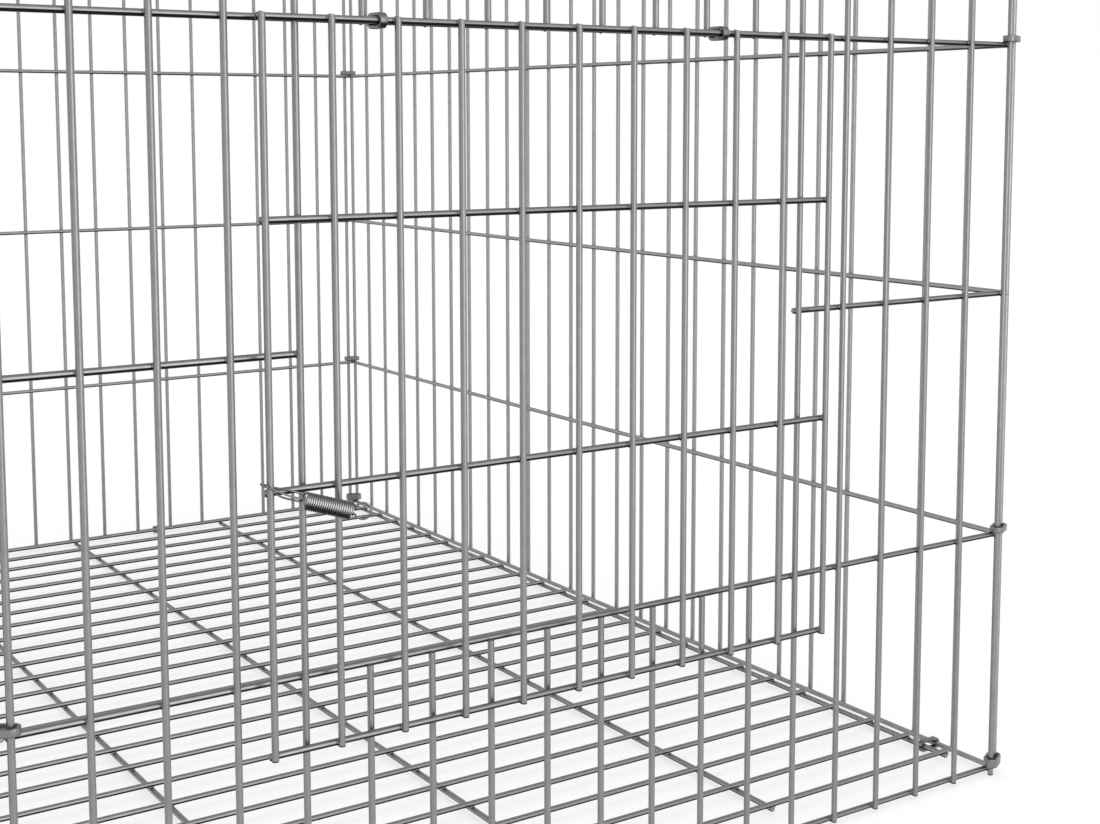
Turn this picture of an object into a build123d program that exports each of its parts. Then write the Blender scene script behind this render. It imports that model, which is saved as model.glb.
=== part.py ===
from build123d import *
import math
import os

# Rabbit cage of welded wire mesh: four walls, floor and roof clipped together at their corners,
# a lift-up door hung on two rings, and a tension spring on the door's left edge.
# Sizes are in millimetres. While the pieces are made, X runs along the front with its middle at 0,
# Y runs into the cage from the axes of the front uprights, and Z rises from the axis of the lowest rail.

# Wire mesh of the walls
wire = 3.0                  # diameter of every panel wire
weld_sink = 0.4             # how deep crossing wires are pressed into each other at a weld
stub = 1.5                  # how far a wire runs past the axis of the last wire it crosses
foot = 3.5                  # how far the uprights at the four corners run below the lowest rail
upright_pitch = 30.0        # between the uprights of the front, the back and the door
front_spaces = 18           # spaces between uprights across the front and the back
side_pitch = 30.4           # between the uprights of the sides
side_spaces = 26            # spaces between uprights along a side
rail_gap = 135.0            # between the rails of the four walls
rail_spaces = 4             # spaces between rails up a wall

# Corners and seats
corner_clearance = 0.2      # between a side panel's rails and the end uprights of the front and back
corner_step_in = 3.0        # from the front or back uprights in to the end upright of a side
cut_clearance = 0.3         # between a wire's cut end and the panel it points at
seat_gap = 0.05             # between a piece and the rail that it rests on

# Floor and roof mesh: close rows across the cage, welded on top of a few runners along it
row_spaces = 25             # spaces between rows
front_margin = 28.3         # from the front uprights to the first row
back_margin = 13.7          # from the last row to the back uprights
runner_spaces = 4           # spaces between runners
edge_inset = 9.2            # from a side panel's rails in to the outer runner
floor_stub = 0.8            # how far the floor's wires run past the axis of the last wire they cross

# Doorway and door
posts_before = 4            # spaces between the front's left end and the doorway's left post
doorway_spaces = 9          # spaces that the doorway is wide
sill_rail = 1               # which rail the doorway stands on, counted from the lowest, 0
sill_cut = 0.3              # how far below the sill's axis the uprights under it are cut
head_rail = 3               # which rail closes the doorway at the top
door_lap = 16.8             # how far the door's left upright stands outside the doorway's left post
door_drop = 28.8            # how far the door's lowest rail hangs below the sill
door_rail_gap = 109.5       # between the door's lower rails
door_low_rails = 3          # evenly spaced rails; one more, the hinge rail, is level with the head rail
door_gap = 0.7              # between the front uprights and the door's rails
hinge_posts = (1, 7)        # posts of the doorway that have a hinge ring beside them

# Clips bent from flat strip
strip = 1.5                 # thickness
ring_height = 3.3           # strip width of the corner, hinge, roof and floor rings
sleeve_height = 5.0         # strip width of the sleeves at the foot of each corner
clip_slack = 0.9            # between a wire and the corner ring or sleeve round it
ring_slack = 0.3            # between a wire and the hinge, roof or floor ring round it
clip_seam = 0.6             # gap left where the two ends of the strip meet
ring_rails = (1, 3)         # rails that have a corner ring resting on them
back_clip_x = 75.0          # from the middle of the back to each clip that holds the floor there

# Door spring, wound from one wire: a tail bent back on the hook, a long hook round the door's edge,
# the coil, and a ring
spring_wire = 0.85          # diameter
spring_outer = 7.5          # outer diameter of the coil
turn_gap = 0.49             # clear gap between turns
spring_turns = 14           # whole turns of the coil; a quarter turn more leads into the ring
hook_reach = 15.1           # from the door's upright to the first turn
hook_slack = 0.45           # between the upright and the hook's strands
hook_tip = 4.1              # from the upright's axis to the bend of the hook
hook_slope = 0.16           # how steeply the hook rises to its bend
hook_lift = 1.05            # from the top of the door's rail up to the hook's strands
hook_bow = 0.5              # how far the inner strand rises midway between the upright and the coil
tail_turn = 12.4            # from the upright to the bend where the outer strand turns back as the tail
tail_out, tail_in = 1.4, 0.5        # how far outside the coil's axis the wire enters and leaves that bend
tail_high, tail_low = 1.35, 2.6     # how far below the hook it enters and leaves
tail_end = 2.9              # from the upright's axis to the wire's cut end
tail_end_drop = 1.9         # how far below the hook the cut end is
tail_slope = 0.4            # how steeply the tail rises to its cut end
coil_sag = 1.95             # from the hook's strands down to the axis of the coil
spring_bearing = 20.0       # angle out from the door, in degrees
spring_droop = 15.9         # angle down from level, in degrees
ring_outer = 7.6            # outer diameter of the ring
ring_step = 4.4             # from the last turn to the middle of the ring
ring_rise = 1.0             # from the axis of the coil up to the middle of the ring
ring_start = -45.0          # where the lead meets the ring, in degrees from the ring's lowest point
ring_sweep = 320.0          # how far round the ring goes, in degrees
spring_rail = 1             # which rail of the door the hook sits above, counted from the lowest, 0

# Worked out from the sizes above
radius = wire / 2
lay = wire - weld_sink
half_front = front_spaces * upright_pitch / 2
side_x = half_front + wire + corner_clearance + lay
side_rail_x = side_x - lay
cage_depth = 2 * corner_step_in + side_spaces * side_pitch
wall_top = rail_spaces * rail_gap
last_row = cage_depth - back_margin
row_pitch = (last_row - front_margin) / row_spaces
outer_runner = side_rail_x - edge_inset
floor_row_z = lay           # the floor's runners are level with the lowest rails
roof_row_z = wall_top + wire + seat_gap
post_left = posts_before * upright_pitch - half_front
post_right = post_left + doorway_spaces * upright_pitch
door_spaces = doorway_spaces + 1
door_left = post_left - door_lap
door_right = door_left + door_spaces * upright_pitch
door_rail_y = -(wire + door_gap)
door_y = door_rail_y - lay
sill_z = sill_rail * rail_gap
hinge_z = head_rail * rail_gap
door_rails = [sill_z - door_drop + i * door_rail_gap for i in range(door_low_rails)]


def bar(start, end):
    """A straight wire between two points."""
    run = Vector(end) - Vector(start)
    return Solid.make_cylinder(radius, run.length, Plane(start, z_dir=run.normalized()))


def mesh(columns, rows):
    """Welded mesh seen from outside: columns (x, low, high) in front, rows (y, left, right) behind them."""
    upright = [bar((x, low, 0), (x, high, 0)) for x, low, high in columns]
    level = [bar((left, y, -lay), (right, y, -lay)) for y, left, right in rows]
    return upright[0].fuse(*upright[1:], *level)


def spaced(start, pitch, spaces):
    """Positions from start, one pitch apart."""
    return [start + i * pitch for i in range(spaces + 1)]


def wall_rails():
    return spaced(0, rail_gap, rail_spaces)


def post_foot(x):
    """The lower end of an upright of the front or back: the corner posts are the cage's feet."""
    return -foot if abs(x) == half_front else -stub


def back_panel():
    posts = spaced(-half_front, upright_pitch, front_spaces)
    columns = [(x, post_foot(x), wall_top + stub) for x in posts]
    rows = [(z, -half_front - radius, half_front + radius) for z in wall_rails()]
    return Plane((0, cage_depth, 0), x_dir=(-1, 0, 0), z_dir=(0, 1, 0)) * mesh(columns, rows)


def front_fields():
    """The front wall, in four fields round the doorway whose rails meet end to end."""
    posts = spaced(-half_front, upright_pitch, front_spaces)
    last_post = posts_before + doorway_spaces
    between = posts[posts_before + 1:last_post]
    left, right, edge = post_left + stub, post_right - stub, half_front + radius
    wall_end = wall_top + stub
    fields = {
        "left": (posts[:posts_before + 1], post_foot, wall_end, wall_rails(), -edge, left),
        "right": (posts[last_post:], post_foot, wall_end, wall_rails(), right, edge),
        "sill": (between, post_foot, sill_z - sill_cut, wall_rails()[:sill_rail + 1], left, right),
        "head": (between, lambda x: hinge_z - stub, wall_end, wall_rails()[head_rail:], left, right),
    }
    front = Plane((0, 0, 0), x_dir=(1, 0, 0), z_dir=(0, -1, 0))
    made = {}
    for name, (uprights, bottom, top, rails, start, end) in fields.items():
        columns = [(x, bottom(x), top) for x in uprights]
        made[f"front_panel_{name}"] = front * mesh(columns, [(z, start, end) for z in rails])
    return made


def side_panel():
    """The right side. The left one is the same panel turned round."""
    run = side_spaces * side_pitch
    columns = [(y, -stub, wall_top + stub) for y in spaced(0, side_pitch, side_spaces)]
    rows = [(z, -stub, run + stub) for z in wall_rails()]
    return Plane((side_x, corner_step_in, 0), x_dir=(0, 1, 0), z_dir=(1, 0, 0)) * mesh(columns, rows)


def level_panel(row_z, reach, start, end):
    """Floor or roof mesh: rows across the cage as far as reach on each side, and runners below them."""
    columns = [(-y, -reach, reach) for y in spaced(front_margin, row_pitch, row_spaces)]
    runners = spaced(-outer_runner, 2 * outer_runner / runner_spaces, runner_spaces)
    rows = [(x, -end, -start) for x in runners]
    return Plane((0, 0, row_z), x_dir=(0, -1, 0), z_dir=(0, 0, 1)) * mesh(columns, rows)


def floor_panel():
    """The floor lies inside the walls and is clipped to their lowest rails."""
    start, end = front_margin - floor_stub, last_row + floor_stub
    return level_panel(floor_row_z, outer_runner + floor_stub, start, end)


def roof_panel():
    """The roof's rows rest on the top rails of the sides."""
    end_gap = lay + radius + cut_clearance
    return level_panel(roof_row_z, side_x - radius - cut_clearance, end_gap, cage_depth - end_gap)


def door_panel():
    low, high = door_rails[0] - stub, hinge_z + stub
    columns = [(x, low, high) for x in spaced(door_left, upright_pitch, door_spaces)]
    rows = [(z, door_left - stub, door_right + stub) for z in [*door_rails, hinge_z]]
    return Plane((0, door_y, 0), x_dir=(1, 0, 0), z_dir=(0, -1, 0)) * mesh(columns, rows)


def stadium(span, r):
    """A flat shape with straight sides and two round ends, whose middles are the given span apart."""
    x = span / 2
    return Face(Wire([
        Edge.make_line((-x, -r), (x, -r)),
        Edge.make_three_point_arc((x, -r), (x + r, 0), (x, r)),
        Edge.make_line((x, r), (-x, r)),
        Edge.make_three_point_arc((-x, r), (-x - r, 0), (-x, -r)),
    ]))


def clip(first, second, along, height, slack):
    """A strip bent into a flat ring round two wires that run along the given direction.

    first and second are points on the wires' axes, where the ring starts. Its ends meet beside the first.
    """
    first, second, along = Vector(first), Vector(second), Vector(along)
    span = second - first
    frame = Plane((first + second) / 2, x_dir=span.normalized(), z_dir=along)
    inner = radius + slack
    ring = extrude(stadium(span.length, inner + strip) - stadium(span.length, inner), height)
    mid_strip = -span.length / 2 - inner - strip / 2
    seam = Location((mid_strip, 0, height / 2)) * Box(2 * strip, clip_seam, 2 * height)
    return frame * (ring - seam).solid()


def corner_clip(side, depth, rail, height):
    """A clip round the two uprights that meet at a corner, resting on a rail; side is -1 or 1."""
    front_y = cage_depth if depth == "back" else 0
    side_y = cage_depth - corner_step_in if depth == "back" else corner_step_in
    z = rail * rail_gap + radius + seat_gap
    return clip((side * side_x, side_y, z), (side * half_front, front_y, z), (0, 0, 1), height, clip_slack)


def side_clip(side, depth, rail_z, runner_z):
    """A clip round an outer runner and a side's rail, midway between an upright and a row near the corner."""
    if depth == "back":
        upright, row = corner_step_in + (side_spaces - 1) * side_pitch, last_row
    else:
        upright, row = corner_step_in + side_pitch, front_margin + row_pitch
    y = (upright + row - ring_height) / 2
    runner = (side * outer_runner, y, runner_z)
    return clip(runner, (side * side_rail_x, y, rail_z), (0, 1, 0), ring_height, ring_slack)


def roof_clip(side, depth):
    return side_clip(side, depth, wall_top, roof_row_z - lay)


def floor_clip(side, depth):
    """The floor is held by its outer runners near the front, and by its last row at the back."""
    if depth == "front":
        return side_clip(side, depth, 0, floor_row_z - lay)
    x = side * back_clip_x - ring_height / 2
    return clip((x, last_row, floor_row_z), (x, cage_depth - lay, 0), (1, 0, 0), ring_height, ring_slack)


def hinge_ring(post):
    """A ring round the head rail and the door's top rail, beside one of the doorway's posts."""
    x = post_left + post * upright_pitch + (upright_pitch - door_lap - ring_height) / 2
    return clip((x, lay, hinge_z), (x, door_rail_y, hinge_z), (1, 0, 0), ring_height, ring_slack)


def biarc(start, start_way, end, end_way):
    """Two tangent arcs from one point and direction to another."""
    step = end - start
    ways = start_way + end_way
    turn = 2 * (1 - start_way.dot(end_way))
    along = step.dot(ways)
    reach = step.dot(step) / (along + math.sqrt(along * along + turn * step.dot(step)))
    first, second = start + start_way * reach, end - end_way * reach
    middle = (first + second) / 2
    return [Edge.make_tangent_arc(start, start_way, middle),
            Edge.make_tangent_arc(middle, second - first, end)]


def spring_path():
    """The spring's centre line as arcs. u runs along the coil, v towards the door and w up.

    The line starts at the tail's cut end, goes out to the coil and back, round the door's upright at u = 0,
    and on into the coil.
    """
    coil_r = (spring_outer - spring_wire) / 2
    ring_r = (ring_outer - spring_wire) / 2
    strand = radius + hook_slack + spring_wire / 2
    pitch = spring_wire + turn_gap
    last_turn = spring_turns + 1 / 4

    def coil(turn):
        """A point of the coil and the wire's direction there; it starts at the top and goes outward."""
        a = 2 * math.pi * turn
        point = Vector(hook_reach + turn * pitch, -coil_r * math.sin(a), coil_r * math.cos(a) - coil_sag)
        way = Vector(pitch / (2 * math.pi), -coil_r * math.cos(a), -coil_r * math.sin(a))
        return point, way.normalized()

    def ring(angle):
        """A point of the ring, turned from its lowest point away from the coil."""
        a = math.radians(angle)
        u = hook_reach + last_turn * pitch + ring_step + ring_r * math.sin(a)
        return Vector(u, 0, ring_rise - coil_sag - ring_r * math.cos(a)), Vector(math.cos(a), 0, math.sin(a))

    tail = [
        (Vector(tail_end, 0, -tail_end_drop), Vector(1, 0, -tail_slope).normalized()),
        (Vector(tail_turn, -tail_in, -tail_low), Vector(1, 0, 0)),
        (Vector(tail_turn, -tail_out, -tail_high), Vector(-1, 0, 0)),
    ]
    hook = [
        (Vector(spring_wire, -strand, 0), Vector(-1, 0, hook_slope).normalized()),
        (Vector(-hook_tip, 0, hook_slope * hook_tip), Vector(0, 1, 0)),
        (Vector(spring_wire, strand, 0), Vector(1, 0, 0)),
        (Vector(hook_reach / 2, strand / 2, hook_bow), Vector(1, 0, 0)),
        (Vector(hook_reach - 2 * spring_wire, coil_r / 2, hook_bow / 2), Vector(1, 0, 0)),
    ]
    half_turns = [coil(i / 2) for i in range(2 * spring_turns + 1)]
    thirds = [ring(ring_start + ring_sweep * i / 3) for i in range(4)]
    knots = [*tail, *hook, *half_turns, coil(last_turn), *thirds]
    edges = []
    for (start, start_way), (end, end_way) in zip(knots, knots[1:]):
        edges += biarc(start, start_way, end, end_way)
    return Wire(edges)


def least_gap(path, thickness):
    """The least clear gap between stretches of the wire that are more than a tight bend apart along it."""
    step = thickness / 3
    count = int(path.length / step)
    points = [path.position_at(i / count) for i in range(count + 1)]
    apart = int(thickness * math.pi / step)
    pairs = ((i, j) for i in range(count) for j in range(i + apart, count + 1))
    return min((points[j] - points[i]).length for i, j in pairs) - thickness


def door_spring():
    path = spring_path()
    section = Plane(path.position_at(0), z_dir=path.tangent_at(0)) * Circle(spring_wire / 2)
    solid = sweep(section, path).solid()
    gap = least_gap(path, spring_wire)
    print("spring length", round(path.length, 2), "least gap to itself", round(gap, 3))
    bearing, droop = math.radians(spring_bearing), math.radians(spring_droop)
    u = Vector(math.cos(bearing) * math.cos(droop), -math.sin(bearing) * math.cos(droop), -math.sin(droop))
    v = Vector(math.sin(bearing), math.cos(bearing), 0)
    hook_z = door_rails[spring_rail] + radius + hook_lift
    return Plane((door_left, door_y, hook_z), x_dir=u, z_dir=u.cross(v)) * solid


def make_parts():
    right = side_panel()
    parts = {
        **front_fields(),
        "back_panel": back_panel(),
        "right_panel": right,
        "left_panel": right.rotate(Axis((0, cage_depth / 2, 0), (0, 0, 1)), 180),
        "floor_panel": floor_panel(),
        "roof_panel": roof_panel(),
        "door_panel": door_panel(),
        "door_spring": door_spring(),
    }
    for hand, post in zip(("left", "right"), hinge_posts):
        parts[f"door_hinge_ring_{hand}"] = hinge_ring(post)
    for hand, side in (("left", -1), ("right", 1)):
        for depth in ("front", "back"):
            corner = f"{depth}_{hand}"
            parts[f"foot_sleeve_{corner}"] = corner_clip(side, depth, 0, sleeve_height)
            for place, rail in zip(("lower", "upper"), ring_rails):
                parts[f"corner_ring_{corner}_{place}"] = corner_clip(side, depth, rail, ring_height)
            parts[f"roof_clip_{corner}"] = roof_clip(side, depth)
            parts[f"floor_clip_{corner}"] = floor_clip(side, depth)
    return parts


def main():
    """Writes each piece, moved so that the origin is at the bottom middle of the whole cage."""
    os.makedirs("parts", exist_ok=True)
    parts = make_parts()
    boxes = [piece.bounding_box() for piece in parts.values()]
    low = Vector(*(min(getattr(b.min, axis) for b in boxes) for axis in "XYZ"))
    high = Vector(*(max(getattr(b.max, axis) for b in boxes) for axis in "XYZ"))
    to_origin = Location((-(low.X + high.X) / 2, -(low.Y + high.Y) / 2, -low.Z))
    print("overall size", high - low, "moved by", to_origin.position)
    for name, piece in parts.items():
        export_step(piece.moved(to_origin), f"parts/{name}.step")


main()
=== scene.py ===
# %% [markdown]
# # A rabbit cage of welded wire mesh
# The cage is six flat panels of galvanised wire, tied at the corners with clips bent from strip. A lift-up
# door hangs on two rings, and a tension spring is hooked to the door's left edge.
# The CAD model is loaded first, as a fixed frame: it says where every piece is and which pieces move.
# The lesson then models each piece again, round and smooth where CAD triangles are coarse, and gives it
# its finish.

# %% Load the frame
import bmesh
import bpy
import math
from mathutils import Matrix, Vector


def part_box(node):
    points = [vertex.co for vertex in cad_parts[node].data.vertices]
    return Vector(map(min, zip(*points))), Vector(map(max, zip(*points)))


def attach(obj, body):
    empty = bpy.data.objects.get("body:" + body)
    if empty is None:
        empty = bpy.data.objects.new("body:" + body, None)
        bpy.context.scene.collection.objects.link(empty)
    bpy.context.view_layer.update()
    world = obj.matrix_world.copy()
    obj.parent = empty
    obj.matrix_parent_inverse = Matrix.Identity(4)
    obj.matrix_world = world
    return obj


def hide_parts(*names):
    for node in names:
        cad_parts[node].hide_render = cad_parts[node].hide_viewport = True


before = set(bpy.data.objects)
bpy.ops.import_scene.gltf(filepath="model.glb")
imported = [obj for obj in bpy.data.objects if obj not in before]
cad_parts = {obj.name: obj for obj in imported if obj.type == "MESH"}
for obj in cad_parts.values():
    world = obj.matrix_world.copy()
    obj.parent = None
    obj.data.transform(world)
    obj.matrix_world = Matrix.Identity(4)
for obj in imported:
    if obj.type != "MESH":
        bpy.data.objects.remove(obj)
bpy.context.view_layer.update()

# %% [markdown]
# ## From the drawing to the frame
# The pieces are drawn in millimetres, the unit of a workshop drawing: X runs along the front with its
# middle at 0, Y runs into the cage from the axes of the front uprights, and Z rises from the axis of the
# lowest rail. Blender works in metres, with the origin under the middle of the cage, so one matrix takes
# every finished piece across. It could be typed in, but a CAD node's own box gives it without a mistake.

# %% Wire sizes and the matrix
MM = 0.001
WIRE = 3.0                       # diameter of every panel wire
RADIUS = WIRE / 2
WELD_SINK = 0.4                  # how deep crossing wires are pressed into each other
LAY = WIRE - WELD_SINK           # from the uprights' axes in to the rails' axes
STUB = 1.5                       # how far a wire runs past the axis of the last wire that it crosses
FOOT = 3.5                       # how far the four corner uprights run below the lowest rail

front_low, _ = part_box("front_panel_left")
drawing_origin = Vector((0, front_low.y + RADIUS * MM, front_low.z + FOOT * MM))
TO_FRAME = Matrix.Translation(drawing_origin) @ Matrix.Scale(MM, 4)
print("the drawing's origin is at", tuple(round(c, 4) for c in drawing_origin))

# %% [markdown]
# ## Colours and nodes
# Every finish below is procedural, so a few small helpers keep the node code readable. Colours are written as
# sRGB hex, as an eyedropper gives them, but shaders work with linear light, so one function converts them.
# Another adds a node: plain values are set on its sockets, and sockets of other nodes are linked.

# %% Helpers for finishes
def linear(hex_colour):
    """A linear colour from an sRGB hex string such as 'a0a4a8'."""
    parts = [int(hex_colour[i:i + 2], 16) / 255 for i in (0, 2, 4)]
    return [p / 12.92 if p <= 0.04045 else ((p + 0.055) / 1.055) ** 2.4 for p in parts] + [1.0]


def new_tree(owner):
    """An empty node tree on a material or world."""
    owner.use_nodes = True
    owner.node_tree.nodes.clear()
    return owner.node_tree


def add(tree, kind, inputs=None, **settings):
    """Adds a node of a kind with its settings; inputs holds values, or sockets to link from."""
    made = tree.nodes.new(kind)
    for name, value in settings.items():
        setattr(made, name, value)
    for name, value in (inputs or {}).items():
        if isinstance(value, bpy.types.NodeSocket):
            tree.links.new(value, made.inputs[name])
        else:
            made.inputs[name].default_value = value
    return made


def per_mm(size):
    """The scale of a texture whose features are about this many millimetres wide."""
    return 1 / (size * MM)


print("mid grey 808080 is", round(linear("808080")[0], 3), "in linear light")

# %% [markdown]
# ## Galvanised steel
# The panels are drawn steel wire, welded and then galvanised. The zinc is dull and faintly mottled: crystals
# a few millimetres wide catch the light a little differently, and the skin has fine grain. In the photograph
# tops are slightly duller than sides, and undersides are nearly black, as if they mirrored dark ground. The
# floor of this studio is white, so the finish itself darkens what faces down: the upward part of the normal
# tells top from underside, also on a door that is swung up. This paints in a reflection, so it stays when the
# light changes. An image could be wrapped round each wire, but noise on Object coordinates needs no
# unwrapping and runs on from wire to wire without seams.
# The duller tops are painted shade as well.

# %% Galvanised finishes
GRAIN_MM = 0.7                   # real grain is finer; this is as fine as the picture can show
GRAIN_DEPTH_MM, GRAIN_STRENGTH = 0.015, 0.5
NOISE_RANGE = (0.3, 0.7)         # range that the noise of the mottling mostly stays in
MOTTLE = 0.06                    # how far the mottling moves the brightness up or down
ROUGH_SPREAD = 0.08              # how far it moves the roughness
# The darker grey of the tops is painted shade.
TOP_TURN = (0.3, 0.8)            # range of the normal's upward part in which a side becomes a top
METALLIC = 0.9                   # a little less than bare metal, for the dull skin on the zinc


def galvanised(name, side, painted_top, painted_underside, turn, mottle_mm, roughness):
    """Zinc with three greys, for sides, tops and undersides, mottled and finely grained: the tops' grey is
    painted shade, and the undersides' grey is a painted reflection of dark ground.

    turn is the range of the normal's upward part in which a side becomes an underside, with its painted
    near-black reflection.
    """
    material = bpy.data.materials.new(name)
    tree = new_tree(material)
    place = add(tree, "ShaderNodeTexCoord")
    surface = add(tree, "ShaderNodeNewGeometry")
    facing = add(tree, "ShaderNodeSeparateXYZ", {"Vector": surface.outputs["Normal"]}).outputs["Z"]
    # Masks by the upward part of the normal: they paint shade on tops and a dark painted reflection on
    # undersides.
    up = add(tree, "ShaderNodeMapRange", {
        "Value": facing, "From Min": TOP_TURN[0], "From Max": TOP_TURN[1]}, interpolation_type="SMOOTHSTEP")
    down = add(tree, "ShaderNodeMapRange", {
        "Value": facing, "From Min": turn[0], "From Max": turn[1]}, interpolation_type="SMOOTHSTEP")
    upper = add(tree, "ShaderNodeMix", {
        0: up.outputs["Result"], 6: linear(side), 7: linear(painted_top)}, data_type="RGBA")
    shade = add(tree, "ShaderNodeMix", {
        0: down.outputs["Result"], 6: upper.outputs[2], 7: linear(painted_underside)}, data_type="RGBA")
    mottle = add(tree, "ShaderNodeTexNoise", {
        "Vector": place.outputs["Object"], "Scale": per_mm(mottle_mm), "Detail": 4.0, "Roughness": 0.6})
    light = add(tree, "ShaderNodeMapRange", {
        "Value": mottle.outputs["Fac"], "From Min": NOISE_RANGE[0], "From Max": NOISE_RANGE[1],
        "To Min": 1 - MOTTLE, "To Max": 1 + MOTTLE})
    zinc = add(tree, "ShaderNodeVectorMath", {0: shade.outputs[2], "Scale": light.outputs["Result"]},
               operation="SCALE")
    rough = add(tree, "ShaderNodeMapRange", {
        "Value": mottle.outputs["Fac"], "To Min": roughness + ROUGH_SPREAD,
        "To Max": roughness - ROUGH_SPREAD})
    grain = add(tree, "ShaderNodeTexNoise", {
        "Vector": place.outputs["Object"], "Scale": per_mm(GRAIN_MM), "Detail": 2.0})
    bump = add(tree, "ShaderNodeBump", {
        "Height": grain.outputs["Fac"], "Strength": GRAIN_STRENGTH, "Distance": GRAIN_DEPTH_MM * MM})
    skin = add(tree, "ShaderNodeBsdfPrincipled", {
        "Base Color": zinc.outputs["Vector"], "Roughness": rough.outputs["Result"],
        "Normal": bump.outputs["Normal"], "Metallic": METALLIC})
    add(tree, "ShaderNodeOutputMaterial", {"Surface": skin.outputs["BSDF"]})
    return material


# Dull dipped zinc: mid grey with a soft highlight along each wire, a painted darker top, and a painted dark
# line under each rail, a painted reflection of dark ground.
FRONT_ZINC = galvanised("galvanised_front_wire", "929292", "747474", "161616", (0.05, -0.25), 6.0, 0.34)
# The same zinc on the sides, the back and the roof, where the painted dark line underneath, a painted
# reflection, is narrower and weaker, and the painted top only a little darker.
BACK_ZINC = galvanised("galvanised_wall_wire", "9e9e9e", "949494", "282828", (-0.2, -0.5), 6.0, 0.36)
# The same zinc on the floor's wire, with a painted darker top and a sharp black line painted along the
# underside of each row as a reflection of dark ground.
FLOOR_ZINC = galvanised("galvanised_floor_wire", "a0a0a0", "7c7c7c", "040404", (0.02, -0.12), 6.0, 0.36)
# Galvanised flat strip: a darker grey than the wire, with broader mottling; its top is painted darker and its
# underside painted near black, as painted shade and painted reflection.
STRIP_ZINC = galvanised("galvanised_strip", "848484", "606060", "202020", (-0.05, -0.45), 9.0, 0.36)
# Light zinc grey on the coil's turns, between a painted dark top and a painted black underside: the coil's
# shining band along its middle is partly the softbox's highlight and partly painted highlight.
COIL_ZINC = galvanised("coil_zinc_painted_band", "c0c0c0", "606060", "262626", (0.15, -0.25), 2.0, 0.3)
# The hook, the tail and the ring are the same wire, but look duller: a plainer grey without the coil's
# painted band, with the same painted darker top and painted black underside.
HOOK_ZINC = galvanised("dull_zinc_spring_wire", "8c8c8c", "6c6c6c", "242424", (0.1, -0.3), 2.0, 0.34)
finishes = (FRONT_ZINC, BACK_ZINC, FLOOR_ZINC, STRIP_ZINC, COIL_ZINC, HOOK_ZINC)
print("finishes:", ", ".join(m.name for m in finishes))

# %% [markdown]
# ## From mesh to piece
# A bmesh is only a workbench. When a shape is done it becomes a mesh with its finishes, rides on the CAD body
# that it moves with, and takes the place of the CAD nodes that it stands for.

# %% Finish a piece
def finish_piece(bm, name, body, nodes, finishes):
    """Turns a bmesh drawn in millimetres into an object of the frame, riding on a body."""
    bm.transform(TO_FRAME)
    mesh = bpy.data.meshes.new(name)
    bm.to_mesh(mesh)
    bm.free()
    for finish in finishes:
        mesh.materials.append(finish)
    piece = bpy.data.objects.new(name, mesh)
    bpy.context.scene.collection.objects.link(piece)
    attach(piece, body)
    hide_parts(*nodes)
    print(name, "has", len(mesh.polygons), "faces and stands for", ", ".join(nodes))


# %% [markdown]
# ## Welded mesh
# In a welding machine straight wires lie across others and are pressed together while a current melts them
# into each other. A curve with a round bevel could draw each wire, but a cone primitive with equal radii is
# already a closed round bar, so one operator makes it. The bar is cut with shears, so its rims are slightly
# rounded; a short collar behind each rim keeps the shading of the rounding from running along the whole wire.
# At each crossing a small flattened bead fills the corners between the wires. All beads are copies of one,
# which is quicker than modelling hundreds of them.

# %% Cut wires
WIRE_SIDES = 20
CUT_ROUND = 0.35                 # radius that the shears leave on a cut rim
COLLAR = 1.0                     # length of the last ring of faces at each end of a wire


def bar(bm, start, end):
    """A round wire between two points, without the collars at its ends."""
    start, end = Vector(start), Vector(end)
    run = end - start
    turn = run.to_track_quat("Z", "Y").to_matrix().to_4x4()
    bmesh.ops.create_cone(
        bm, cap_ends=True, segments=WIRE_SIDES, radius1=RADIUS, radius2=RADIUS,
        depth=run.length - 2 * COLLAR, matrix=Matrix.Translation((start + end) / 2) @ turn)


def round_cut_ends(bm):
    """Draws out a collar at each flat end, rounds its rim and shades all but the ends smooth."""
    ends = [f for f in bm.faces if len(f.verts) == WIRE_SIDES]
    bmesh.ops.inset_individual(bm, faces=ends, thickness=0.0, depth=COLLAR)
    rims = {e for f in ends for e in f.edges}
    bmesh.ops.bevel(bm, geom=list(rims), affect="EDGES", offset=CUT_ROUND, segments=2, profile=0.5,
                    material=-1)
    for f in bm.faces:
        f.smooth = len(f.verts) < WIRE_SIDES


flat = RADIUS * (1 - math.cos(math.pi / WIRE_SIDES))
print("the flats of a wire lie", round(flat, 3), "mm inside its round outline")

# %% Weld beads
BEAD_REACH, BEAD_DEPTH = 2.0, 0.7        # half a weld bead's width and half its thickness


def weld_bead():
    """The flattened bead between two wires that cross."""
    bm = bmesh.new()
    bmesh.ops.create_uvsphere(bm, u_segments=8, v_segments=4, radius=1)
    bmesh.ops.scale(bm, vec=(BEAD_REACH, BEAD_REACH, BEAD_DEPTH), verts=bm.verts)
    for f in bm.faces:
        f.smooth = True
    mesh = bpy.data.meshes.new("weld_bead")
    bm.to_mesh(mesh)
    bm.free()
    return mesh


def add_copy(bm, mesh, place):
    """Adds a copy of a small mesh at a point."""
    there = Matrix.Translation(place)
    mesh.transform(there)
    bm.from_mesh(mesh)
    mesh.transform(there.inverted())


BEAD = weld_bead()
print("a weld bead has", len(BEAD.polygons), "faces")

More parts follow.
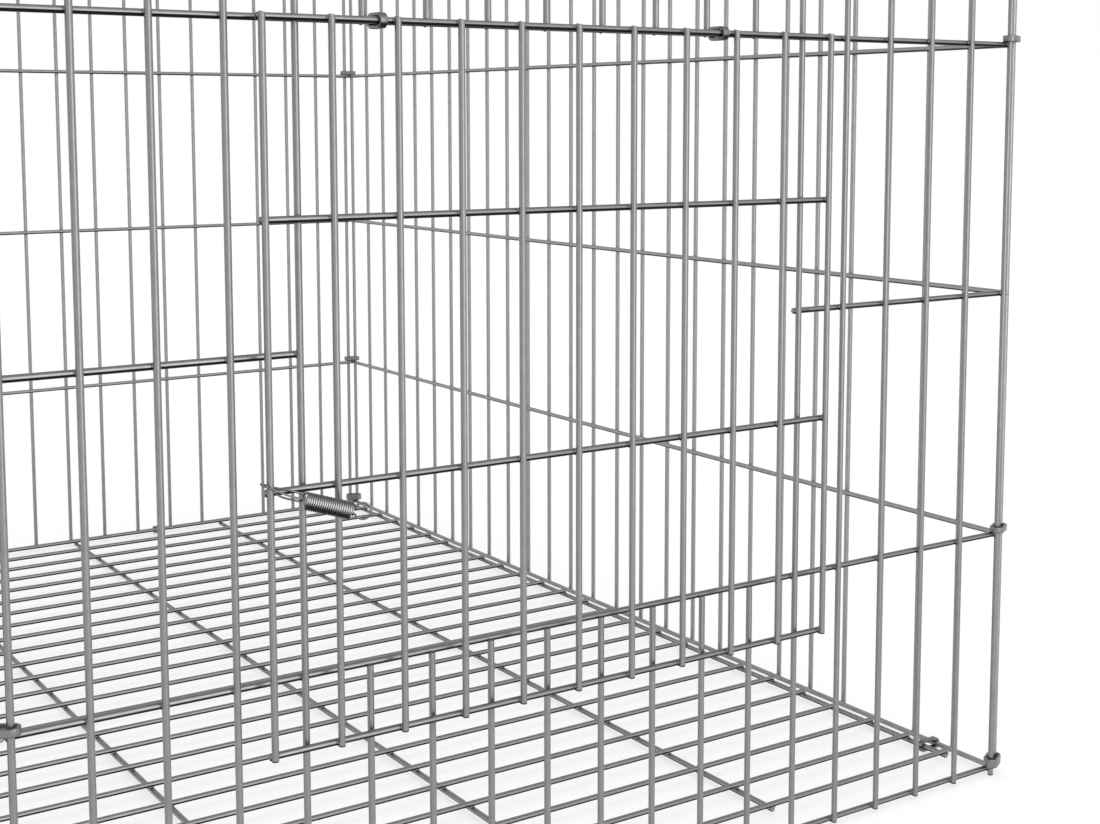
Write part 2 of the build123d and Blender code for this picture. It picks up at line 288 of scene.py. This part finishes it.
# %% A panel of welded mesh
def welded_panel(name, place, columns, rows, body, nodes, finish):
    """Mesh drawn flat, seen from outside: columns in front, rows behind them.

    A column is (x, low, high) and a row is (y, left, right).
    """
    bm = bmesh.new()
    for x, low, high in columns:
        bar(bm, (x, low, 0), (x, high, 0))
    for y, left, right in rows:
        bar(bm, (left, y, -LAY), (right, y, -LAY))
    round_cut_ends(bm)
    for x, low, high in columns:
        for y, left, right in rows:
            if low < y < high and left < x < right:
                add_copy(bm, BEAD, (x, y, -LAY / 2))
    bm.transform(place)
    finish_piece(bm, name, body, nodes, [finish])


def plane(origin, across, out):
    """The matrix of a panel's plane from its origin, its x direction and its outward direction."""
    across, out = Vector(across), Vector(out)
    up = out.cross(across)
    return Matrix.Translation(origin) @ Matrix((across, up, out)).transposed().to_4x4()


def spaced(start, pitch, spaces):
    """Positions from start, one pitch apart."""
    return [start + i * pitch for i in range(spaces + 1)]


print("the rows of a panel lie", round(LAY, 2), "mm behind its columns")

# %% [markdown]
# ## The walls
# Front and back have uprights 30 mm apart on five rails; the sides have the same rails and slightly wider
# spacing. The doorway is cut out of the front: the rails and uprights that would cross it end at the wires
# that frame the hole. Each wall is one piece, because the welds make it one. The CAD model keeps the front as
# four fields round the doorway, so the front wall stands for four nodes.

# %% Back wall
PITCH, FRONT_SPACES = 30.0, 18
HALF_FRONT = FRONT_SPACES * PITCH / 2
RAIL_GAP, RAILS = 135.0, 5
SIDE_PITCH, SIDE_SPACES = 30.4, 26
CORNER_STEP_IN = 3.0             # from the front uprights in to the end upright of a side
DEPTH = 2 * CORNER_STEP_IN + SIDE_SPACES * SIDE_PITCH
WALL_TOP = RAIL_GAP * (RAILS - 1)
WALL_FOOT, WALL_HEAD = -STUB, WALL_TOP + STUB
FRONT_EDGE = HALF_FRONT + RADIUS

posts = spaced(-HALF_FRONT, PITCH, FRONT_SPACES)
rails = spaced(0, RAIL_GAP, RAILS - 1)


def post_foot(x):
    """The lower end of an upright of the front or back: the corner posts are the cage's feet."""
    return -FOOT if abs(x) == HALF_FRONT else WALL_FOOT


welded_panel("back_wall", plane((0, DEPTH, 0), (-1, 0, 0), (0, 1, 0)),
             [(x, post_foot(x), WALL_HEAD) for x in posts], [(z, -FRONT_EDGE, FRONT_EDGE) for z in rails],
             "cage", ["back_panel"], BACK_ZINC)

# %% Side walls
CORNER_CLEARANCE = 0.2           # between a side's rails and the end uprights of the front and back
SIDE_X = HALF_FRONT + WIRE + CORNER_CLEARANCE + LAY
side_columns = [(y, WALL_FOOT, WALL_HEAD) for y in spaced(0, SIDE_PITCH, SIDE_SPACES)]
side_rows = [(z, -STUB, SIDE_SPACES * SIDE_PITCH + STUB) for z in rails]
welded_panel("right_wall", plane((SIDE_X, CORNER_STEP_IN, 0), (0, 1, 0), (1, 0, 0)),
             side_columns, side_rows, "cage", ["right_panel"], BACK_ZINC)
welded_panel("left_wall", plane((-SIDE_X, DEPTH - CORNER_STEP_IN, 0), (0, -1, 0), (-1, 0, 0)),
             side_columns, side_rows, "cage", ["left_panel"], BACK_ZINC)

# %% Front wall with its doorway
LEFT_POST, RIGHT_POST = 4, 13    # uprights that frame the doorway, counted from the left
SILL, HEAD = 1, 3                # rails that it stands on and that close it at the top
SILL_CUT = 0.3                   # how far below the sill's axis the uprights under it are cut

front_columns, front_rows = [], []
for i, x in enumerate(posts):
    if LEFT_POST < i < RIGHT_POST:
        front_columns += [(x, WALL_FOOT, rails[SILL] - SILL_CUT), (x, rails[HEAD] - STUB, WALL_HEAD)]
    else:
        front_columns.append((x, post_foot(x), WALL_HEAD))
for i, z in enumerate(rails):
    if SILL < i < HEAD:
        front_rows += [(z, -FRONT_EDGE, posts[LEFT_POST] + STUB), (z, posts[RIGHT_POST] - STUB, FRONT_EDGE)]
    else:
        front_rows.append((z, -FRONT_EDGE, FRONT_EDGE))
welded_panel("front_wall", plane((0, 0, 0), (1, 0, 0), (0, -1, 0)), front_columns, front_rows, "cage",
             ["front_panel_left", "front_panel_right", "front_panel_sill", "front_panel_head"], FRONT_ZINC)

# %% [markdown]
# ## Floor and roof
# Both have 26 close rows across the cage, welded on five runners. The floor lies inside the walls, with its
# runners level with the lowest rails. The roof's rows are longer and rest on the top rails of the sides.

# %% Floor and roof
SEAT_GAP = 0.05                  # between a piece and the rail that it rests on
CUT_CLEARANCE = 0.3              # between a cut end and the wall it points at
FLOOR_STUB = 0.8                 # the floor's wires are cut almost flush with the last wire they cross
SIDE_RAIL_X = SIDE_X - LAY
EDGE_INSET, RUNNER_SPACES = 9.2, 4
RUNNER_X = SIDE_RAIL_X - EDGE_INSET      # the outer runners lie just inside the side rails
RUNNER_PITCH = 2 * RUNNER_X / RUNNER_SPACES
FRONT_MARGIN, BACK_MARGIN = 28.3, 13.7   # from the front uprights to the first row, and last row to back
ROW_SPACES = 25
LAST_ROW = DEPTH - BACK_MARGIN
ROW_PITCH = (LAST_ROW - FRONT_MARGIN) / ROW_SPACES
ROOF_ROW_Z = WALL_TOP + WIRE + SEAT_GAP


def level_panel(name, node, row_z, reach, start, end, finish):
    """Rows across the cage as far as reach on each side, on runners from start to end."""
    columns = [(-y, -reach, reach) for y in spaced(FRONT_MARGIN, ROW_PITCH, ROW_SPACES)]
    rows = [(x, -end, -start) for x in spaced(-RUNNER_X, RUNNER_PITCH, RUNNER_SPACES)]
    welded_panel(name, plane((0, 0, row_z), (0, -1, 0), (0, 0, 1)), columns, rows, "cage", [node], finish)


end_gap = LAY + RADIUS + CUT_CLEARANCE
level_panel("floor_mesh", "floor_panel", LAY, RUNNER_X + FLOOR_STUB, FRONT_MARGIN - FLOOR_STUB,
            LAST_ROW + FLOOR_STUB, FLOOR_ZINC)
level_panel("roof_mesh", "roof_panel", ROOF_ROW_Z, SIDE_X - RADIUS - CUT_CLEARANCE, end_gap, DEPTH - end_gap,
            BACK_ZINC)

# %% [markdown]
# ## The door
# The door is a smaller panel that laps the doorway on the outside, so a rabbit can't push it in. Its own
# rails are closer together than the wall's. It rides on the body that swings about the hinge rail.

# %% Door
DOOR_LAP = 16.8                          # how far the door's left upright is outside the doorway's left post
DOOR_LEFT = posts[LEFT_POST] - DOOR_LAP
DOOR_SPACES = 10
DOOR_GAP = 0.7                           # between the front uprights and the door's rails
DOOR_DROP = 28.8                         # how far its lowest rail hangs below the sill
DOOR_RAIL_GAP = 109.5                    # between its three lower rails
DOOR_RAIL_Y = -(WIRE + DOOR_GAP)
DOOR_Y = DOOR_RAIL_Y - LAY
HINGE_Z = rails[HEAD]
DOOR_RAILS = spaced(rails[SILL] - DOOR_DROP, DOOR_RAIL_GAP, 2) + [HINGE_Z]

door_right = DOOR_LEFT + DOOR_SPACES * PITCH
welded_panel("door", plane((0, DOOR_Y, 0), (1, 0, 0), (0, -1, 0)),
             [(x, DOOR_RAILS[0] - STUB, HINGE_Z + STUB) for x in spaced(DOOR_LEFT, PITCH, DOOR_SPACES)],
             [(z, DOOR_LEFT - STUB, door_right + STUB) for z in DOOR_RAILS], "door", ["door_panel"],
             FRONT_ZINC)

# %% [markdown]
# ## Clips bent from strip
# Pliers close a short length of strip round two wires until its ends almost meet. The outline of the strip's
# section is carried along the bend: spin turns it round one wire, an extrusion takes it straight across, and
# spin turns it round the other. A boolean of two blocks would give the same ring, but with sharp edges.
# Spinning can turn a shape inside out, so the normals are recalculated when it is closed. On a clip that is
# open at its seam that can go wrong, so the enclosed volume tells whether all faces have to be reversed.

# %% Carry a strip along a bend
STRIP = 1.5                      # thickness
STRIP_ROUND = 0.3                # radius of the strip's rolled edges
QUARTER, QUARTER_STEPS = math.pi / 2, 8


def strip_outline(bm, height):
    """The outline of the strip's section: x through the strip, z along its width."""
    bmesh.ops.create_grid(bm, x_segments=1, y_segments=1, size=0.5)
    bmesh.ops.scale(bm, vec=(STRIP, height, 1), verts=bm.verts)
    bmesh.ops.bevel(bm, geom=bm.verts[:], affect="VERTICES", offset=STRIP_ROUND, segments=3, profile=0.5,
                    material=-1)
    bmesh.ops.rotate(bm, matrix=Matrix.Rotation(QUARTER, 3, "X"), verts=bm.verts)
    bmesh.ops.delete(bm, geom=bm.faces[:], context="FACES_ONLY")
    return bm.edges[:]


def turn_round(bm, outline, middle, angle):
    """Carries an outline round an upright axis and gives the outline at its end."""
    steps = max(1, round(abs(angle) / QUARTER * QUARTER_STEPS))
    made = bmesh.ops.spin(bm, geom=outline, cent=middle, axis=(0, 0, 1), angle=angle, steps=steps)
    return [g for g in made["geom_last"] if isinstance(g, bmesh.types.BMEdge)]


def run_straight(bm, outline, step):
    """Carries an outline straight along and gives the outline at its end."""
    made = bmesh.ops.extrude_edge_only(bm, edges=outline)["geom"]
    bmesh.ops.translate(bm, vec=step, verts=[g for g in made if isinstance(g, bmesh.types.BMVert)])
    edges = [g for g in made if isinstance(g, bmesh.types.BMEdge)]
    ends = {g for g in made if isinstance(g, bmesh.types.BMVert)}
    return [e for e in edges if e.verts[0] in ends and e.verts[1] in ends]


print("a full quarter turn of a bend has", QUARTER_STEPS, "rings of faces")

# %% A bent clip
SEAM = 0.6                       # gap where the two ends meet
CORNER_SLACK, RING_SLACK = 0.9, 0.3      # between a wire and the clip round it


def face_outward(bm):
    """Turns all faces of one closed shape outward."""
    bmesh.ops.recalc_face_normals(bm, faces=bm.faces)
    if bm.calc_volume(signed=True) < 0:
        bmesh.ops.reverse_faces(bm, faces=bm.faces)


def bent_clip(node, first, second, along, height, slack):
    """A strip bent round two wires that run along a direction; its ends meet beside the first wire."""
    first, second, along = Vector(first), Vector(second), Vector(along)
    span = second - first
    bend = RADIUS + slack + STRIP / 2
    near, far = Vector((-span.length / 2, 0, 0)), Vector((span.length / 2, 0, 0))
    seam_turn = math.asin(SEAM / 2 / bend)
    bm = bmesh.new()
    start = strip_outline(bm, height)
    bmesh.ops.translate(bm, vec=(-bend, 0, 0), verts=bm.verts)
    bmesh.ops.rotate(bm, matrix=Matrix.Rotation(-seam_turn, 3, "Z"), verts=bm.verts)
    bmesh.ops.translate(bm, vec=near, verts=bm.verts)
    outline = turn_round(bm, start, near, seam_turn - QUARTER)
    outline = run_straight(bm, outline, far - near)
    outline = turn_round(bm, outline, far, -2 * QUARTER)
    outline = run_straight(bm, outline, near - far)
    outline = turn_round(bm, outline, near, seam_turn - QUARTER)
    for f in bm.faces:
        f.smooth = True
    bmesh.ops.edgeloop_fill(bm, edges=start)
    bmesh.ops.edgeloop_fill(bm, edges=outline)
    face_outward(bm)
    across = span.normalized()
    turn = Matrix((across, along.cross(across), along)).transposed().to_4x4()
    bm.transform(Matrix.Translation((first + second) / 2 + along * height / 2) @ turn)
    finish_piece(bm, f"bent_{node}", "cage", [node], [STRIP_ZINC])


print("clips are bent to inner radii of", RADIUS + CORNER_SLACK, "and", RADIUS + RING_SLACK, "mm")

# %% [markdown]
# ## Where the clips go
# A taller sleeve holds the foot of each corner and two rings hold it higher up. Clips tie the roof's outer
# runners to the top rails, and the floor's outer runners and last row to the lowest rails. Two rings are the
# door's hinges.

# %% Corner rings and foot sleeves
RING_HEIGHT, SLEEVE_HEIGHT = 3.3, 5.0
LOWER_RING_RAIL, UPPER_RING_RAIL = 1, 3  # rails that the corner rings sit on
HANDS = (("left", -1), ("right", 1))

for hand, side in HANDS:
    for depth, wall_y, side_y in (("front", 0, CORNER_STEP_IN), ("back", DEPTH, DEPTH - CORNER_STEP_IN)):
        for kind, rail, height in ((f"foot_sleeve_{depth}_{hand}", 0, SLEEVE_HEIGHT),
                                   (f"corner_ring_{depth}_{hand}_lower", LOWER_RING_RAIL, RING_HEIGHT),
                                   (f"corner_ring_{depth}_{hand}_upper", UPPER_RING_RAIL, RING_HEIGHT)):
            z = rails[rail] + RADIUS + SEAT_GAP
            bent_clip(kind, (side * SIDE_X, side_y, z), (side * HALF_FRONT, wall_y, z),
                      (0, 0, 1), height, CORNER_SLACK)

# %% Roof and floor clips
BACK_CLIP_X = 75.0               # from the middle of the back to each clip that holds the floor there


def side_clip(kind, side, depth, runner_z, rail_z):
    """A clip round an outer runner and a side's rail, midway between an upright and a row."""
    upright, row = clip_gaps[depth]
    y = (upright + row - RING_HEIGHT) / 2
    bent_clip(kind, (side * RUNNER_X, y, runner_z), (side * SIDE_RAIL_X, y, rail_z), (0, 1, 0),
              RING_HEIGHT, RING_SLACK)


clip_gaps = {"front": (CORNER_STEP_IN + SIDE_PITCH, FRONT_MARGIN + ROW_PITCH),
             "back": (CORNER_STEP_IN + (SIDE_SPACES - 1) * SIDE_PITCH, LAST_ROW)}
for hand, side in HANDS:
    for depth in clip_gaps:
        side_clip(f"roof_clip_{depth}_{hand}", side, depth, ROOF_ROW_Z - LAY, WALL_TOP)
    side_clip(f"floor_clip_front_{hand}", side, "front", 0, 0)
    x = side * BACK_CLIP_X - RING_HEIGHT / 2
    bent_clip(f"floor_clip_back_{hand}", (x, LAST_ROW, LAY), (x, DEPTH - LAY, 0), (1, 0, 0),
              RING_HEIGHT, RING_SLACK)

# %% Hinge rings
HINGE_POSTS = (("left", 1), ("right", 7))        # posts of the doorway that have a hinge ring beside them

for hand, post in HINGE_POSTS:
    x = posts[LEFT_POST + post] + (PITCH - DOOR_LAP - RING_HEIGHT) / 2
    bent_clip(f"door_hinge_ring_{hand}", (x, LAY, HINGE_Z), (x, DOOR_RAIL_Y, HINGE_Z), (1, 0, 0),
              RING_HEIGHT, RING_SLACK)

# %% [markdown]
# ## The spring
# One wire makes a tail, the hook round the door's left upright, a close coil, and a ring at the free end. A
# curve with a bevel could follow sampled points, but the wire is really bent in arcs, so the outline of its
# section is carried from arc to arc by spin. With a step along the axis, spin winds the coil as a lathe does.
# The CAD solid has fewer turns in the same length, because it has to keep clear of itself. Here they lie as
# close as in the photograph.

# %% Spring sizes
SPRING_WIRE, SPRING_SIDES = 0.85, 12
COIL_OUTER, RING_OUTER = 7.5, 7.6        # outer diameters of the coil and of the ring at its end
COIL_R = (COIL_OUTER - SPRING_WIRE) / 2
RING_R = (RING_OUTER - SPRING_WIRE) / 2
COIL_LENGTH = 19.095             # from the first turn to the start of the ring's lead
TURNS, TURN_STEPS = 21.25, 32    # close turns in that length, and rings of faces to a turn
HOOK_REACH, HOOK_TIP = 15.1, 4.1 # from the upright's axis to the coil, and the other way to the hook's bend
HOOK_SLOPE, HOOK_BOW = 0.16, 0.5 # the hook rises to its bend, and its inner strand rises midway to the coil
HOOK_SLACK, HOOK_LIFT = 0.45, 1.05       # between the upright and the hook, and from the door's rail up to it
TAIL_TURN, TAIL_END = 12.4, 2.9  # where the outer strand turns back as the tail, and where the wire is cut
TAIL_OUT, TAIL_IN = 1.4, 0.5     # how far outside the coil's axis the wire enters and leaves that turn
TAIL_HIGH, TAIL_LOW = 1.35, 2.6  # how far below the hook it enters and leaves
TAIL_END_DROP, TAIL_SLOPE = 1.9, 0.4     # how far below the hook the cut end is, and the tail's slope there
STRAND = RADIUS + HOOK_SLACK + SPRING_WIRE / 2   # from the upright's axis to each side of the hook
COIL_SAG = 1.95                  # from the hook down to the axis of the coil
RING_STEP, RING_RISE = 4.4, 1.0  # from the end of the coil's axis on and up to the ring's middle
RING_START, RING_SWEEP = -45.0, 320.0    # degrees from the ring's lowest point, and round it
RING_BENDS = 3                   # equal bends that make up the ring
SPRING_RAIL = 1                  # which rail of the door the hook sits above
BEARING, DROOP = math.radians(20.0), math.radians(15.9)  # how far it points out from the door and down
coil_pitch = COIL_LENGTH / TURNS
print("the coil has", TURNS, "turns,", round(coil_pitch - SPRING_WIRE, 3), "mm apart")

# %% Carry the wire along arcs
ARC_STEP = math.radians(15)


def along_arc(bm, outline, start, way, end):
    """Carries the outline on the arc that leaves start in a direction and reaches end."""
    chord = end - start
    side = chord - way * chord.dot(way)
    centre = start + side * (chord.length_squared / (2 * side.length_squared))
    angle = 2 * math.atan2(side.length, chord.dot(way))
    made = bmesh.ops.spin(bm, geom=outline, cent=centre, axis=way.cross(side).normalized(), angle=angle,
                          steps=max(2, math.ceil(angle / ARC_STEP)))
    return [g for g in made["geom_last"] if isinstance(g, bmesh.types.BMEdge)]


def along_bend(bm, outline, start, start_way, end, end_way):
    """Two arcs that meet smoothly, from one point and direction to another."""
    step = end - start
    ahead = step.dot(start_way + end_way)
    turn = 2 * (1 - start_way.dot(end_way))
    reach = step.length_squared / (ahead + math.sqrt(ahead * ahead + turn * step.length_squared))
    first, second = start + start_way * reach, end - end_way * reach
    middle = (first + second) / 2
    outline = along_arc(bm, outline, start, start_way, middle)
    return along_arc(bm, outline, middle, (second - first).normalized(), end)


def coil_at(turn):
    """A point of the coil and the wire's direction there."""
    a = 2 * math.pi * turn
    point = Vector((HOOK_REACH + turn * coil_pitch, -COIL_R * math.sin(a), COIL_R * math.cos(a) - COIL_SAG))
    way = Vector((coil_pitch / (2 * math.pi), -COIL_R * math.cos(a), -COIL_R * math.sin(a)))
    return point, way.normalized()


def ring_at(angle):
    """A point of the end ring and the wire's direction there, turned from the ring's lowest point."""
    a = math.radians(angle)
    u = HOOK_REACH + COIL_LENGTH + RING_STEP + RING_R * math.sin(a)
    return Vector((u, 0, RING_RISE - COIL_SAG - RING_R * math.cos(a))), Vector((math.cos(a), 0, math.sin(a)))


print("the coil's wire starts", tuple(round(c, 2) for c in coil_at(0)[0]), "mm from the hook")

# %% Wind the spring
hook = [
    (Vector((TAIL_END, 0, -TAIL_END_DROP)), Vector((1, 0, -TAIL_SLOPE)).normalized()),
    (Vector((TAIL_TURN, -TAIL_IN, -TAIL_LOW)), Vector((1, 0, 0))),
    (Vector((TAIL_TURN, -TAIL_OUT, -TAIL_HIGH)), Vector((-1, 0, 0))),
    (Vector((SPRING_WIRE, -STRAND, 0)), Vector((-1, 0, HOOK_SLOPE)).normalized()),
    (Vector((-HOOK_TIP, 0, HOOK_SLOPE * HOOK_TIP)), Vector((0, 1, 0))),
    (Vector((SPRING_WIRE, STRAND, 0)), Vector((1, 0, 0))),
    (Vector((HOOK_REACH / 2, STRAND / 2, HOOK_BOW)), Vector((1, 0, 0))),
    (Vector((HOOK_REACH - 2 * SPRING_WIRE, COIL_R / 2, HOOK_BOW / 2)), Vector((1, 0, 0))),
    coil_at(0),
]
ring = [coil_at(TURNS)] + [ring_at(RING_START + RING_SWEEP * i / RING_BENDS) for i in range(RING_BENDS + 1)]

bm = bmesh.new()
start, way = hook[0]
bmesh.ops.create_circle(
    bm, segments=SPRING_SIDES, radius=SPRING_WIRE / 2,
    matrix=Matrix.Translation(start) @ way.to_track_quat("Z", "Y").to_matrix().to_4x4())
free_end = outline = bm.edges[:]
for knot, following in zip(hook, hook[1:]):
    outline = along_bend(bm, outline, *knot, *following)
made = bmesh.ops.spin(bm, geom=outline, cent=(HOOK_REACH, 0, -COIL_SAG), axis=(1, 0, 0),
                      dvec=(coil_pitch / TURN_STEPS, 0, 0), angle=2 * math.pi * TURNS,
                      steps=round(TURN_STEPS * TURNS))
outline = [g for g in made["geom_last"] if isinstance(g, bmesh.types.BMEdge)]
for knot, following in zip(ring, ring[1:]):
    outline = along_bend(bm, outline, *knot, *following)
for f in bm.faces:
    f.smooth = True
    f.material_index = 0 if 0 < f.calc_center_median().x - HOOK_REACH < COIL_LENGTH else 1
bmesh.ops.edgeloop_fill(bm, edges=free_end)
bmesh.ops.edgeloop_fill(bm, edges=outline)
face_outward(bm)
print("the spring is wound from", len(hook) + len(ring) - 2, "bends and a coil")

# %% Hang the spring on the door's upright
along = Vector((math.cos(BEARING) * math.cos(DROOP), -math.sin(BEARING) * math.cos(DROOP), -math.sin(DROOP)))
inward = Vector((math.sin(BEARING), math.cos(BEARING), 0))
hook_z = DOOR_RAILS[SPRING_RAIL] + RADIUS + HOOK_LIFT
hang = Matrix((along, inward, along.cross(inward))).transposed().to_4x4()
bm.transform(Matrix.Translation((DOOR_LEFT, DOOR_Y, hook_z)) @ hang)
finish_piece(bm, "wound_spring", "spring", ["door_spring"], [COIL_ZINC, HOOK_ZINC])

# %% [markdown]
# ## Floor and light
# The photograph shows the cage cut out on white, so the studio is plain: a white room, a pale floor that
# keeps a soft shadow, and one softbox beside the camera, which draws a bright line down every upright. The
# floor is a mid grey that glows for rays from the camera, a mirror or glass, so it looks white but throws
# only a little light up at the cage.

# %% Floor
def seen_white(tree, strength):
    """Strength of a white glow that shows to the camera and in reflections only."""
    path = add(tree, "ShaderNodeLightPath")
    first = add(tree, "ShaderNodeMath", {0: path.outputs["Is Camera Ray"], 1: path.outputs["Is Glossy Ray"]},
                operation="MAXIMUM")
    either = add(tree, "ShaderNodeMath", {0: first.outputs[0], 1: path.outputs["Is Transmission Ray"]},
                 operation="MAXIMUM")
    return add(tree, "ShaderNodeMath", {0: either.outputs[0], 1: strength}, operation="MULTIPLY").outputs[0]


FLOOR_RADIUS, FLOOR_SIDES = 14.0, 64
FLOOR_GLOW = 0.64                # strength of the white that the camera sees
bm = bmesh.new()
bmesh.ops.create_circle(bm, cap_ends=True, segments=FLOOR_SIDES, radius=FLOOR_RADIUS)
floor_mesh = bpy.data.meshes.new("studio_floor")
bm.to_mesh(floor_mesh)
bm.free()
floor = bpy.data.objects.new("studio_floor", floor_mesh)
bpy.context.scene.collection.objects.link(floor)

paper = bpy.data.materials.new("white_paper_floor")
paper.cycles.emission_sampling = "NONE"
tree = new_tree(paper)
matt = add(tree, "ShaderNodeBsdfDiffuse", {"Color": linear("a8a8a8")})
glow = add(tree, "ShaderNodeEmission", {"Color": linear("ffffff"), "Strength": seen_white(tree, FLOOR_GLOW)})
both = add(tree, "ShaderNodeAddShader", {0: matt.outputs[0], 1: glow.outputs[0]})
add(tree, "ShaderNodeOutputMaterial", {"Surface": both.outputs[0]})
floor_mesh.materials.append(paper)
print("floor", FLOOR_RADIUS * 2, "m across")

# %% White room and softbox
world = bpy.data.worlds.new("white_room")
bpy.context.scene.world = world
tree = new_tree(world)
white = add(tree, "ShaderNodeBackground", {"Color": linear("ffffff"), "Strength": 1.0})
add(tree, "ShaderNodeOutputWorld", {"Surface": white.outputs[0]})

SOFTBOX_PLACE, SOFTBOX_AIM = (0.1, -1.3, 0.46), (0.0, -0.39, 0.46)
SOFTBOX_WIDTH, SOFTBOX_HEIGHT, SOFTBOX_WATTS = 0.5, 0.9, 2.8


def softbox(name, place, aim, width, height, watts):
    """A rectangular lamp that faces a point and isn't seen itself."""
    lamp = bpy.data.lights.new(name, "AREA")
    lamp.shape, lamp.size, lamp.size_y, lamp.energy = "RECTANGLE", width, height, watts
    box = bpy.data.objects.new(name, lamp)
    box.location = place
    box.rotation_euler = (Vector(aim) - Vector(place)).to_track_quat("-Z", "Y").to_euler()
    box.visible_camera = False
    bpy.context.scene.collection.objects.link(box)


softbox("front_softbox", SOFTBOX_PLACE, SOFTBOX_AIM, SOFTBOX_WIDTH, SOFTBOX_HEIGHT, SOFTBOX_WATTS)
bpy.context.scene.view_settings.view_transform = "Standard"

# %% [markdown]
# ## Camera
# The camera stands where the photograph was taken from: left of the cage's middle, at about two thirds of
# its height, looking to the right and slightly down. Its place came from a pinhole camera fitted to the
# wires. The shift stands for the picture having been cropped. It is less than the best fit, so that views
# from other sides hold the whole cage.

# %% Camera
IMAGE_WIDTH, IMAGE_HEIGHT = 1100, 824
FOCAL_PX = 1647.6                # focal length in pixels of that image
AXIS_X, AXIS_Y = 568.0, 290.0    # where the lens's axis meets the image, from its top left corner
YAW, PITCH_DOWN = math.radians(34.235), math.radians(5.908)
EYE = TO_FRAME @ Vector((-432.422, -608.122, 364.806))

lens = bpy.data.cameras.new("photo_camera")
lens.sensor_width = 36.0
lens.lens = FOCAL_PX / IMAGE_WIDTH * lens.sensor_width
lens.shift_x = (IMAGE_WIDTH / 2 - AXIS_X) / IMAGE_WIDTH
lens.shift_y = (AXIS_Y - IMAGE_HEIGHT / 2) / IMAGE_WIDTH
lens.clip_start = 0.01
camera = bpy.data.objects.new("photo_camera", lens)
camera.location = EYE
camera.rotation_euler = (math.pi / 2 - PITCH_DOWN, 0, -YAW)
bpy.context.scene.collection.objects.link(camera)
bpy.context.scene.camera = camera
print("lens", round(lens.lens, 2), "mm, shift", round(lens.shift_x, 4), round(lens.shift_y, 4))
